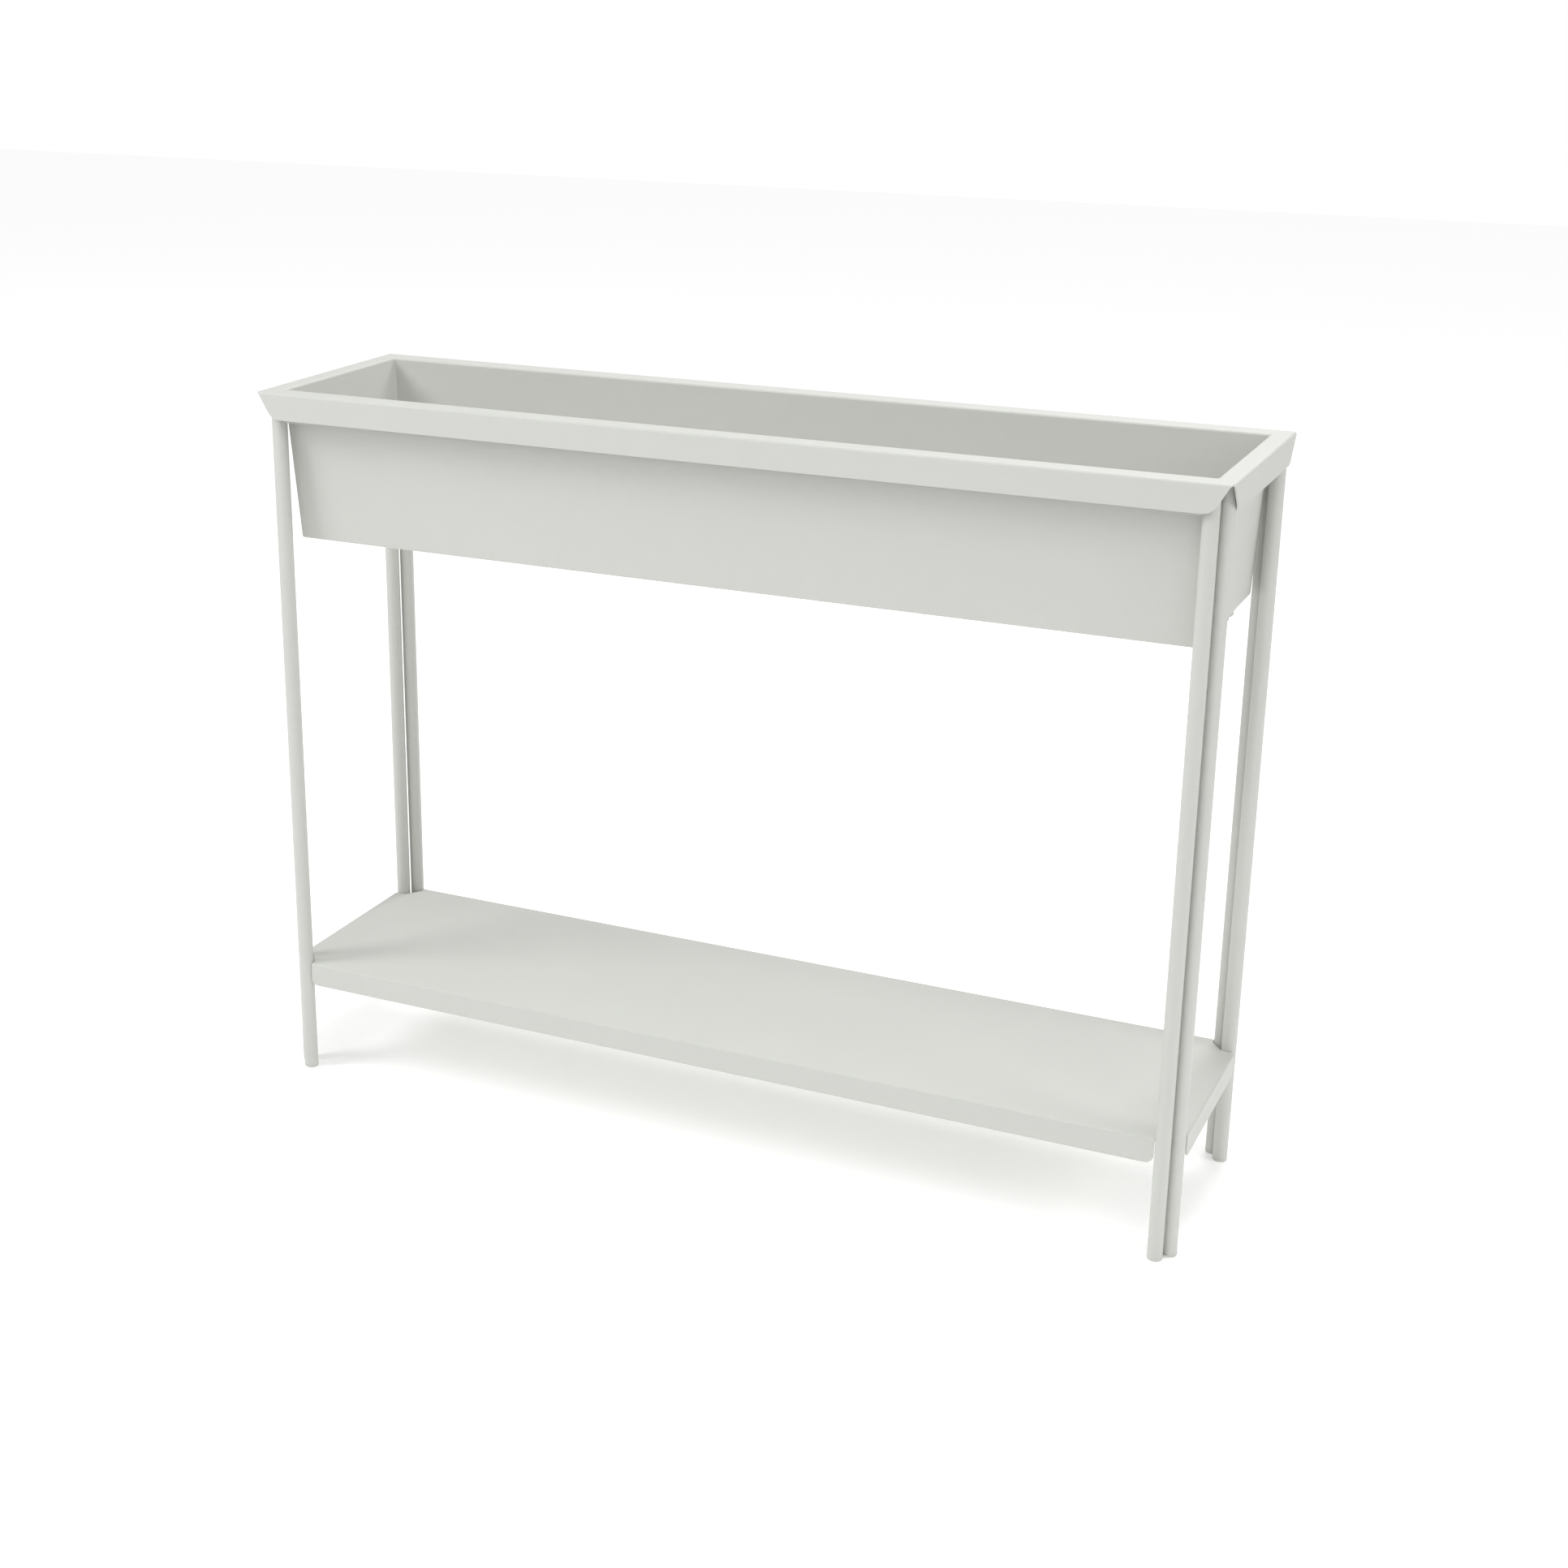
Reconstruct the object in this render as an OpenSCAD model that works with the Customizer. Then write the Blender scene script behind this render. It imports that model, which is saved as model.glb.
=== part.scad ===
// Raised planter: a sheet metal trough with a folded rim that hangs in a welded
// stand with paired tube legs, a top frame of flat bars and a folded shelf.
// Millimetres, +Z up, +X along the length, the front at -Y.
// The origin is on the floor, under the middle of the planter.

/* [Overall] */
// Length over the rim
rim_length = 1000; // [600:1:1500]
// Depth front to back over the rim
rim_width = 260; // [180:1:400]
// Height from the floor to the top of the rim
height = 760; // [400:1:1000]

/* [Sheet] */
// Thickness of the folded sheet
sheet = 1.5; // [0.8:0.1:3]
// Inner radius of the folds
fold_inside = 1; // [0.3:0.1:4]

/* [Trough] */
// Depth of the trough under the top of the rim
trough_depth = 157; // [60:1:300]
// How far each end wall leans in from top to bottom
end_lean = 8; // [0:0.5:40]
// How far the front wall leans in from top to bottom
front_lean = 10; // [0:0.5:40]
// How far the back wall leans in from top to bottom
back_lean = 1; // [0:0.5:40]
// Room between an end wall and the tube beside it
end_wall_gap = 1; // [0.5:0.1:20]
// Room between the front wall and the tube beside it
side_wall_gap = 3.3; // [0.5:0.1:20]

/* [Rim flaps] */
// Height of the flaps that turn down from the rim
flap_height = 27.5; // [12:0.5:60]
// Start of the slope of a flap's end, in from the corner of the rim
flap_start = 2.5; // [0.2:0.1:8]
// End of that slope at the foot of the front and back flaps
flap_slope = 18.5; // [10:0.5:40]
// End of that slope at the foot of the end flaps
end_flap_slope = 25; // [10:0.5:40]
// Radius of the lower corners of the front and back flaps
flap_corner = 15; // [2:0.5:20]
// Radius of the lower corners of the end flaps
end_flap_corner = 6; // [2:0.5:20]
// Room between the fold at an end and the tube beside it
end_fold_gap = 0.3; // [0.2:0.1:20]
// Room between the fold at the front and the tube beside it
side_fold_gap = 1.5; // [0.2:0.1:20]

/* [Legs] */
// Outer diameter of the leg tubes
tube_diameter = 15; // [10:0.5:30]
// Wall of the leg tubes
tube_wall = 1.5; // [0.8:0.1:3]
// Gap between the two tubes of a leg
pair_gap = 2.3; // [0.5:0.1:20]
// Direction of the pair, turned from the length towards the depth
pair_angle = 52.7; // [30:0.1:60]
// Thickness of the plate under each leg
foot_thickness = 3; // [1.5:0.1:8]
// Thickness of the plate on top of each leg
cap_thickness = 3; // [1.5:0.1:8]
// Width of the bridge between the two round ends of those plates
bridge_width = 8.4; // [3:0.1:12]

/* [Top frame] */
// Height of the flat bars
bar_height = 30; // [10:0.5:60]
// Thickness of the flat bars
bar_thickness = 4; // [2:0.5:7]
// Gap left at each welded end
weld_gap = 0.05; // [0:0.01:0.5]

/* [Shelf] */
// Height of the shelf's top face above the floor
shelf_height = 126.5; // [60:0.5:400]
// Height of the shelf's turned down edges
shelf_edge = 25; // [10:0.5:60]
// How far the front edge stands back from the front of the tubes
shelf_setback = 4; // [0:0.5:6]
// Room between the cut corners of the shelf and the tubes
shelf_gap = 0.4; // [0.1:0.1:3]
// Radius of the lower corners of the turned down edges
shelf_corner = 8; // [1:0.5:10]
// Height of the short flange along each cut corner
corner_flange = 14; // [5:0.5:22]

/* [Drain] */
// Distance of the drain behind the middle
drain_offset = 42; // [0:1:70]
// Bore of the drain
drain_bore = 12; // [6:0.5:30]
// Wall of the drain bush
bush_wall = 3; // [1.5:0.5:6]
// How far the bush's flange reaches past its tube
bush_flange_reach = 4; // [2:0.5:10]
// Thickness of the bush's flange
bush_flange = 2; // [1:0.5:5]
// Thickness of the rubber washer under the flange
washer_thickness = 1.5; // [0.5:0.1:4]
// How far the ring nut reaches past the bush
nut_reach = 5; // [2:0.5:12]
// Thickness of the ring nut
nut_thickness = 4.8; // [2:0.1:12]
// How far the stopper's head reaches past the bush
stopper_reach = 1; // [0:0.5:10]
// Thickness of the stopper's head
stopper_thickness = 5.5; // [2:0.1:12]
// Length of the stopper's stem
stopper_stem = 9; // [3:0.5:20]
// Room around the stem in the bore
stopper_gap = 0.25; // [0.05:0.05:1]
// Room between the drain's flange and the end wall
drain_wall_gap = 1; // [0.5:0.1:10]
// Room around the bush in its hole, its washer and its nut
bush_gap = 0.2; // [0.05:0.05:1]

/* [Hidden] */
$fn = 96;
half_length = rim_length / 2;
half_width = rim_width / 2;
tube_r = tube_diameter / 2;
fold_radius = fold_inside + sheet;
// Every leg has one tube behind an end flap and one behind the front or back flap.
// Both stand under the flat of the rim, clear of its folds.
end_tube_x = half_length - fold_radius - end_fold_gap - tube_r;
side_tube_y = half_width - fold_radius - side_fold_gap - tube_r;
pair_pitch = tube_diameter + pair_gap;
side_tube_x = end_tube_x - pair_pitch * cos(pair_angle);
end_tube_y = side_tube_y - pair_pitch * sin(pair_angle);

rim_under = height - sheet;
tube_top = rim_under - cap_thickness;
tube_length = tube_top - foot_thickness;

// The trough hangs between the tubes, so its mouth follows from where they stand.
mouth_x = end_tube_x - tube_r - end_wall_gap - sheet;
mouth_y = side_tube_y - tube_r - side_wall_gap - sheet;
floor_z = height - trough_depth;
floor_x = mouth_x + sheet - end_lean;
floor_front = mouth_y + sheet - front_lean;
floor_back = mouth_y + sheet - back_lean;

shelf_x = end_tube_x + tube_r;
shelf_y = side_tube_y + tube_r - shelf_setback;
shelf_cut_x = side_tube_x - tube_r - shelf_gap;
shelf_cut_y = end_tube_y - tube_r - shelf_gap;

bush_r = drain_bore / 2 + bush_wall;
bush_flange_r = bush_r + bush_flange_reach;
drain_x = floor_x - sheet - drain_wall_gap - bush_flange_r;
nut_bottom = floor_z - nut_thickness;
stopper_r = bush_r + stopper_reach;

coat = [0.81, 0.81, 0.79];
grey = [0.62, 0.62, 0.60];
rubber = [0.15, 0.15, 0.15];

// A solid whose outline in X and Z is the child's outline, from -y to +y.
module along_y(y) {
  translate([0, y, 0]) rotate([90, 0, 0]) linear_extrude(2 * y) children();
}

// A solid whose outline in Y and Z is the child's outline, from -x to +x.
module along_x(x) {
  translate([-x, 0, 0]) rotate([90, 0, 90]) linear_extrude(2 * x) children();
}

// A tapered block: its half length and its reach to the front and to the back,
// at the bottom and at the top.
module tapered(x0, front0, back0, z0, x1, front1, back1, z1) {
  far = max(x0, x1, front0, front1, back0, back1) + 10;
  intersection() {
    along_y(far) polygon([[-x0, z0], [x0, z0], [x1, z1], [-x1, z1]]);
    along_x(far) polygon([[-front0, z0], [back0, z0], [back1, z1], [-front1, z1]]);
  }
}

// The outline of a turned down flap: a straight top at z = top, two sloping
// ends and a straight bottom, with both lower corners rounded.
module flap_outline(half_top, half_bottom, top, bottom, wanted_r) {
  run = half_top - half_bottom;
  rise = top - bottom;
  side = sqrt(run * run + rise * rise);
  turn = atan2(rise, run);
  r = min(wanted_r, 0.9 * rise / tan(turn / 2));
  cut = r * tan(turn / 2);
  ux = run / side * cut;
  uz = rise / side * cut;
  polygon([
    [-half_bottom + cut, bottom], [half_bottom - cut, bottom],
    [half_bottom + ux, bottom + uz], [half_top, top],
    [-half_top, top], [-half_bottom - ux, bottom + uz]
  ]);
  for (s = [-1, 1])
    translate([s * (half_bottom - cut), bottom + r]) circle(r);
}

// Section of a fold: flat from "back" to the fold, then down to "bottom".
// It is drawn with the outer face at x = edge and the top face at y = top.
module fold_section(back, edge, top, bottom) {
  difference() {
    union() {
      translate([back, top - sheet]) square([edge - fold_radius - back, sheet]);
      translate([edge - sheet, bottom]) square([sheet, top - fold_radius - bottom]);
      intersection() {
        translate([edge - fold_radius, top - fold_radius]) circle(fold_radius);
        translate([edge - fold_radius, top - fold_radius]) square(fold_radius);
      }
    }
    translate([edge - fold_radius, top - fold_radius]) circle(fold_inside);
  }
}

// The rim with its opening, short of the folds.
module rim_plate() {
  x = half_length - fold_radius;
  y = half_width - fold_radius;
  difference() {
    translate([-x, -y, rim_under]) cube([2 * x, 2 * y, sheet]);
    translate([-mouth_x, -mouth_y, rim_under - 1])
      cube([2 * mouth_x, 2 * mouth_y, sheet + 2]);
  }
}

// One flap along the length, at the back.
module long_flap() {
  intersection() {
    along_x(half_length)
      fold_section(half_width - fold_radius - 1, half_width, height, height - flap_height);
    along_y(half_width)
      flap_outline(half_length - flap_start, half_length - flap_slope,
        height, height - flap_height, flap_corner);
  }
}

// One flap across an end, at the right.
module short_flap() {
  intersection() {
    along_y(half_width)
      fold_section(half_length - fold_radius - 1, half_length, height, height - flap_height);
    along_x(half_length)
      flap_outline(half_width - flap_start, half_width - end_flap_slope,
        height, height - flap_height, end_flap_corner);
  }
}

module tray() color(coat) {
  inner_floor = floor_z + sheet;
  // The inner faces keep the wall thickness level with the floor and the rim.
  in_x = floor_x - sheet;
  in_front = floor_front - sheet;
  in_back = floor_back - sheet;
  difference() {
    union() {
      tapered(floor_x, floor_front, floor_back, floor_z,
        mouth_x + sheet, mouth_y + sheet, mouth_y + sheet, height);
      rim_plate();
    }
    tapered(in_x, in_front, in_back, inner_floor,
      mouth_x + (mouth_x - in_x) / trough_depth, mouth_y + (mouth_y - in_front) / trough_depth,
      mouth_y + (mouth_y - in_back) / trough_depth, height + 1);
    translate([drain_x, drain_offset, floor_z - 1]) cylinder(r = bush_r + bush_gap, h = sheet + 2);
  }
  for (s = [0, 180]) rotate([0, 0, s]) {
    long_flap();
    short_flap();
  }
}

module drain_bush() color(grey) {
  seat = floor_z + sheet + washer_thickness;
  translate([drain_x, drain_offset, 0]) difference() {
    union() {
      translate([0, 0, nut_bottom]) cylinder(r = bush_r, h = seat - nut_bottom + bush_flange);
      translate([0, 0, seat]) cylinder(r = bush_flange_r, h = bush_flange);
    }
    translate([0, 0, nut_bottom - 1])
      cylinder(d = drain_bore, h = seat - nut_bottom + bush_flange + 2);
  }
}

module drain_washer() color(rubber) {
  translate([drain_x, drain_offset, floor_z + sheet]) difference() {
    cylinder(r = bush_flange_r, h = washer_thickness);
    translate([0, 0, -1]) cylinder(r = bush_r + bush_gap, h = washer_thickness + 2);
  }
}

module drain_nut() color(grey) {
  translate([drain_x, drain_offset, nut_bottom]) difference() {
    cylinder(r = bush_r + nut_reach, h = nut_thickness);
    translate([0, 0, -1]) cylinder(r = bush_r + bush_gap, h = nut_thickness + 2);
  }
}

module drain_stopper() color(grey) {
  translate([drain_x, drain_offset, nut_bottom]) {
    translate([0, 0, -stopper_thickness]) cylinder(r = stopper_r, h = stopper_thickness);
    translate([0, 0, -0.5]) cylinder(r = drain_bore / 2 - stopper_gap, h = stopper_stem + 0.5);
  }
}

// A flat bar of the top frame along X, coped to the tubes at both ends.
module long_bar() {
  difference() {
    translate([-side_tube_x, side_tube_y - bar_thickness / 2, rim_under - bar_height])
      cube([2 * side_tube_x, bar_thickness, bar_height]);
    for (s = [-1, 1])
      translate([s * side_tube_x, side_tube_y, rim_under - bar_height - 1])
        cylinder(r = tube_r + weld_gap, h = bar_height + 2);
  }
}

// The same across an end.
module short_bar() {
  difference() {
    translate([end_tube_x - bar_thickness / 2, -end_tube_y, rim_under - bar_height])
      cube([bar_thickness, 2 * end_tube_y, bar_height]);
    for (s = [-1, 1])
      translate([end_tube_x, s * end_tube_y, rim_under - bar_height - 1])
        cylinder(r = tube_r + weld_gap, h = bar_height + 2);
  }
}

module back_bar() color(coat) long_bar();
module front_bar() color(coat) rotate([0, 0, 180]) long_bar();
module right_bar() color(coat) short_bar();
module left_bar() color(coat) rotate([0, 0, 180]) short_bar();

module tube(x, y) {
  translate([x, y, foot_thickness]) difference() {
    cylinder(r = tube_r, h = tube_length);
    translate([0, 0, -1]) cylinder(r = tube_r - tube_wall, h = tube_length + 2);
  }
}

module front_left_side_tube() color(coat) tube(-side_tube_x, -side_tube_y);
module front_left_end_tube() color(coat) tube(-end_tube_x, -end_tube_y);
module front_right_side_tube() color(coat) tube(side_tube_x, -side_tube_y);
module front_right_end_tube() color(coat) tube(end_tube_x, -end_tube_y);
module back_left_side_tube() color(coat) tube(-side_tube_x, side_tube_y);
module back_left_end_tube() color(coat) tube(-end_tube_x, end_tube_y);
module back_right_side_tube() color(coat) tube(side_tube_x, side_tube_y);
module back_right_end_tube() color(coat) tube(end_tube_x, end_tube_y);

// Plate that joins the two tubes of a leg: two round ends and a bridge.
module pair_plate(sx, sy, z, thickness) {
  bridge = min(bridge_width, tube_diameter);
  translate([0, 0, z]) {
    translate([sx * side_tube_x, sy * side_tube_y, 0]) cylinder(r = tube_r, h = thickness);
    translate([sx * end_tube_x, sy * end_tube_y, 0]) cylinder(r = tube_r, h = thickness);
    translate([sx * end_tube_x, sy * end_tube_y, 0])
      rotate([0, 0, atan2(sy * (side_tube_y - end_tube_y), sx * (side_tube_x - end_tube_x))])
        translate([0, -bridge / 2, 0]) cube([pair_pitch, bridge, thickness]);
  }
}

module front_left_foot() color(coat) pair_plate(-1, -1, 0, foot_thickness);
module front_right_foot() color(coat) pair_plate(1, -1, 0, foot_thickness);
module back_left_foot() color(coat) pair_plate(-1, 1, 0, foot_thickness);
module back_right_foot() color(coat) pair_plate(1, 1, 0, foot_thickness);
module front_left_cap() color(coat) pair_plate(-1, -1, tube_top, cap_thickness);
module front_right_cap() color(coat) pair_plate(1, -1, tube_top, cap_thickness);
module back_left_cap() color(coat) pair_plate(-1, 1, tube_top, cap_thickness);
module back_right_cap() color(coat) pair_plate(1, 1, tube_top, cap_thickness);

// Shelf: a folded sheet whose corners are cut back around the tube pairs, with
// a short flange down along each cut for the weld to the tubes.
module shelf() color(coat) {
  under = shelf_height - sheet;
  x = shelf_x - fold_radius;
  y = shelf_y - fold_radius;
  // The cut runs along the inner sides of both tubes.
  reach = tube_r + weld_gap;
  nx = sin(pair_angle);
  ny = cos(pair_angle);
  px = side_tube_x - reach * nx;
  py = side_tube_y - reach * ny;
  cut_top = py + (px - shelf_cut_x) * nx / ny;
  cut_side = px + (py - shelf_cut_y) * ny / nx;
  corner = [[x, shelf_cut_y], [cut_side, shelf_cut_y], [shelf_cut_x, cut_top], [shelf_cut_x, y]];
  translate([0, 0, under]) linear_extrude(sheet) polygon([
    for (p = corner) p,
    for (i = [3:-1:0]) [-corner[i][0], corner[i][1]],
    for (p = corner) [-p[0], -p[1]],
    for (i = [3:-1:0]) [corner[i][0], -corner[i][1]]
  ]);
  for (s = [0, 180]) rotate([0, 0, s]) {
    intersection() {
      along_x(half_length)
        fold_section(y - 1, shelf_y, shelf_height, shelf_height - shelf_edge);
      along_y(half_width)
        flap_outline(shelf_cut_x, shelf_cut_x, shelf_height,
          shelf_height - shelf_edge, shelf_corner);
    }
    intersection() {
      along_y(half_width)
        fold_section(x - 1, shelf_x, shelf_height, shelf_height - shelf_edge);
      along_x(half_length)
        flap_outline(shelf_cut_y, shelf_cut_y, shelf_height,
          shelf_height - shelf_edge, shelf_corner);
    }
  }
  // The flange spans the sloping part of the cut.
  slope = sqrt(pow(cut_side - shelf_cut_x, 2) + pow(cut_top - shelf_cut_y, 2));
  for (sx = [-1, 1]) for (sy = [-1, 1])
    mirror([sx < 0 ? 1 : 0, 0, 0]) mirror([0, sy < 0 ? 1 : 0, 0])
      translate([shelf_cut_x, cut_top, shelf_height - corner_flange])
        rotate([0, 0, -atan2(cut_top - shelf_cut_y, cut_side - shelf_cut_x)])
          translate([sheet, -sheet, 0]) cube([slope - 2 * sheet, sheet, corner_flange]);
}

tray();
drain_bush();
drain_washer();
drain_nut();
drain_stopper();
front_bar();
back_bar();
left_bar();
right_bar();
front_left_side_tube();
front_left_end_tube();
front_right_side_tube();
front_right_end_tube();
back_left_side_tube();
back_left_end_tube();
back_right_side_tube();
back_right_end_tube();
front_left_foot();
front_right_foot();
back_left_foot();
back_right_foot();
front_left_cap();
front_right_cap();
back_left_cap();
back_right_cap();
shelf();
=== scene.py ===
"""Raised planter: a folded sheet metal trough whose turned down rim hangs over a
welded stand with paired tube legs, a top frame of flat bars and a folded shelf.

Metres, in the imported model's own frame: +Z up, +X along the length, the front at -Y.
"""

import math

import bmesh
import bpy
from mathutils import Matrix, Vector


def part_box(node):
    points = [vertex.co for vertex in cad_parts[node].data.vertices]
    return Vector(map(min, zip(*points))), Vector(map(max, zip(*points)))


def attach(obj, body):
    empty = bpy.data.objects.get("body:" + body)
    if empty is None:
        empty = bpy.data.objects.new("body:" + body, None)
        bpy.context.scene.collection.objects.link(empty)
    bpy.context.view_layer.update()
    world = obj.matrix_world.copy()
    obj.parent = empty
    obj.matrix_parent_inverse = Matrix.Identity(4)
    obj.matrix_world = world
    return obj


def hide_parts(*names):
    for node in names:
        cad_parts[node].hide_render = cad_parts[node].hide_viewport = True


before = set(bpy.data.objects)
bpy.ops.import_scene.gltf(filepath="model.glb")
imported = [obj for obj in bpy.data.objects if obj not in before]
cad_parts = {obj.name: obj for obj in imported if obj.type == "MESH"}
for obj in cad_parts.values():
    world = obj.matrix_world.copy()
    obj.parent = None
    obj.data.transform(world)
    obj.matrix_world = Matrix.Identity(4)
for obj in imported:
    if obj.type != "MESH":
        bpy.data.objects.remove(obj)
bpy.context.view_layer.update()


# Trough. One blank of 1.5 mm sheet steel: the four walls are folded up and their
# corners welded and ground, then the rim is folded out flat and its four flaps
# are turned down over the stand. It is powder coated in one piece.
SHEET = 0.0015
FOLD_INSIDE = 0.001
FOLD = FOLD_INSIDE + SHEET
LEAD = 0.0004
FOLD_STEPS = 6
CORNER_STEPS = 6

END_WALL_GAP = 0.001
SIDE_WALL_GAP = 0.0033
END_LEAN = 0.008
FRONT_LEAN = 0.010
BACK_LEAN = 0.001
FLAP_HEIGHT = 0.0275
FLAP_START = 0.0025
FLAP_SLOPE = 0.0185
FLAP_CORNER = 0.015
END_FLAP_SLOPE = 0.025
END_FLAP_CORNER = 0.006
FLAP_CORNER_STEPS = 12
WALL_CORNER = 0.001
EDGE_ROUND = 0.0003
EDGE_ANGLE = 50
SAME_POINT = 1e-6
DRAIN_HOLE = 0.0092
HOLE_STEPS = 48

SIDES = [Vector(way) for way in ((1, 0, 0), (0, 1, 0), (-1, 0, 0), (0, -1, 0))]


def sweep(first, last, steps):
    """Values from first to last, both included, in equal steps."""
    return [first + (last - first) * i / steps for i in range(steps + 1)]


def join_rows(mesh, rows, round_trip=False):
    """Quads between rows of points that are equally long; returns the rows of vertices."""
    grid = [[mesh.verts.new(point) for point in row] for row in rows]
    for row, next_row in zip(grid, grid[1:]):
        count = len(row)
        for i in range(count if round_trip else count - 1):
            j = (i + 1) % count
            mesh.faces.new((row[i], row[j], next_row[j], next_row[i]))
    return grid


def fill_flat(mesh, loops):
    """A flat face area that faces up, between an outer loop and any holes in it."""
    edges = []
    for loop in loops:
        for a, b in zip(loop, loop[1:] + loop[:1]):
            edges.append(mesh.edges.get((a, b)) or mesh.edges.new((a, b)))
    made = bmesh.ops.triangle_fill(mesh, use_beauty=True, edges=edges)["geom"]
    for face in made:
        if isinstance(face, bmesh.types.BMFace):
            face.normal_update()
            if face.normal.z < 0:
                face.normal_flip()


def fold_arc(start, end, radius, corner):
    """Points (out, up) of the arc that rounds a corner between two straight stretches."""
    before = (Vector(corner) - Vector(start)).normalized()
    after = (Vector(end) - Vector(corner)).normalized()
    turn = before.angle_signed(after)
    reach = radius * math.tan(abs(turn) / 2)
    side = Vector((-before.y, before.x)) * (-1 if turn > 0 else 1)
    centre = Vector(corner) - before * reach + side * radius
    spoke = -side * radius
    points = [centre + Matrix.Rotation(-angle, 2) @ spoke for angle in sweep(0, turn, FOLD_STEPS)]
    return [points[0] - before * LEAD] + points + [points[-1] + after * LEAD]


def rounded_ring(end, front, back, radius):
    """A ring with round corners, clockwise from above; each side is an (out, up)."""
    points = []
    for quarter in range(4):
        side = back if quarter < 2 else front
        start = math.pi / 2 * quarter
        middle = start + math.pi / 4
        centre = Vector((
            math.copysign(end[0] - radius, math.cos(middle)),
            math.copysign(side[0] - radius, math.sin(middle))))
        arc = []
        for angle in sweep(start, start + math.pi / 2, CORNER_STEPS):
            share = math.sin(angle) ** 2
            flat = centre + radius * Vector((math.cos(angle), math.sin(angle)))
            arc.append(Vector((flat.x, flat.y, end[1] + (side[1] - end[1]) * share)))
        along = Vector((-math.sin(start), math.cos(start), 0))
        across = Vector((-math.cos(start), -math.sin(start), 0))
        points += [arc[0] - along * LEAD] + arc + [arc[-1] + across * LEAD]
    return points[::-1]


def turned_edge(mesh, middle, outward, rows):
    """A flap folded down from a flat face. Each row is (out, down, half its length)."""
    along = Vector((outward.y, -outward.x, 0))
    grid = []
    for out, down, half in rows:
        centre = middle + outward * out - Vector((0, 0, down))
        grid.append([centre - along * half, centre + along * half])
    return join_rows(mesh, grid)


def fold_rows():
    """(out, down) of the outer face over a right angled fold, with a lead at both ends."""
    rows = [(-LEAD, 0)]
    for angle in sweep(0, math.pi / 2, FOLD_STEPS):
        rows.append((FOLD * math.sin(angle), FOLD * (1 - math.cos(angle))))
    rows.append((FOLD, FOLD + LEAD))
    return rows


def rim_flap_rows(half_edge, slope, radius):
    """Rows of a rim flap: its ends slope in over the fold and down to round corners."""
    run = slope - FLAP_START
    cut = radius * math.tan(math.atan2(FLAP_HEIGHT, run) / 2)
    first = math.atan2(run, FLAP_HEIGHT)
    corner_top = FLAP_HEIGHT - radius + radius * math.sin(first) - LEAD
    rows = []
    for out, down in fold_rows() + [(FOLD, corner_top)]:
        mitre = half_edge - FOLD + out
        rows.append((out, down, min(mitre, half_edge - FLAP_START - run * down / FLAP_HEIGHT)))
    for angle in sweep(first, math.pi / 2, FLAP_CORNER_STEPS):
        rows.append((
            FOLD,
            FLAP_HEIGHT - radius + radius * math.sin(angle),
            half_edge - slope - cut + radius * math.cos(angle)))
    return rows


def plain_piece(name, mesh):
    shape = bpy.data.meshes.new(name)
    mesh.to_mesh(shape)
    mesh.free()
    piece = bpy.data.objects.new(name, shape)
    bpy.context.scene.collection.objects.link(piece)
    return piece


def finished(name, mesh, material, body, slot, *nodes, thickness=0, edge=EDGE_ROUND):
    """Makes the piece, gives its wall and rounded edges, and puts it on its body."""
    bmesh.ops.remove_doubles(mesh, verts=mesh.verts[:], dist=SAME_POINT)
    piece = plain_piece(name, mesh)
    piece.data.materials.append(material)
    piece.data.shade_smooth()
    if thickness:
        wall = piece.modifiers.new("Wall", "SOLIDIFY")
        wall.thickness = thickness
        wall.offset = -1
        wall.use_even_offset = True
        wall.use_quality_normals = True
    if edge:
        rounding = piece.modifiers.new("Rounded edges", "BEVEL")
        rounding.width = edge
        rounding.segments = 2
        rounding.limit_method = "ANGLE"
        rounding.angle_limit = math.radians(EDGE_ANGLE)
        rounding.harden_normals = True
    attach(piece, body)
    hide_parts(*nodes)


def tinted(colour, shade):
    return tuple(channel * shade for channel in colour) + (1,)


class Plug:
    """An output of a node, so that sums on its values are written as expressions."""

    def __init__(self, tree, socket):
        self.tree = tree
        self.socket = socket

    def __add__(self, other):
        return self.tree.maths("ADD", self, other)

    def __radd__(self, other):
        return self.tree.maths("ADD", other, self)

    def __sub__(self, other):
        return self.tree.maths("SUBTRACT", self, other)

    def __rsub__(self, other):
        return self.tree.maths("SUBTRACT", other, self)

    def __mul__(self, other):
        return self.tree.maths("MULTIPLY", self, other)

    def __rmul__(self, other):
        return self.tree.maths("MULTIPLY", other, self)


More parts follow.
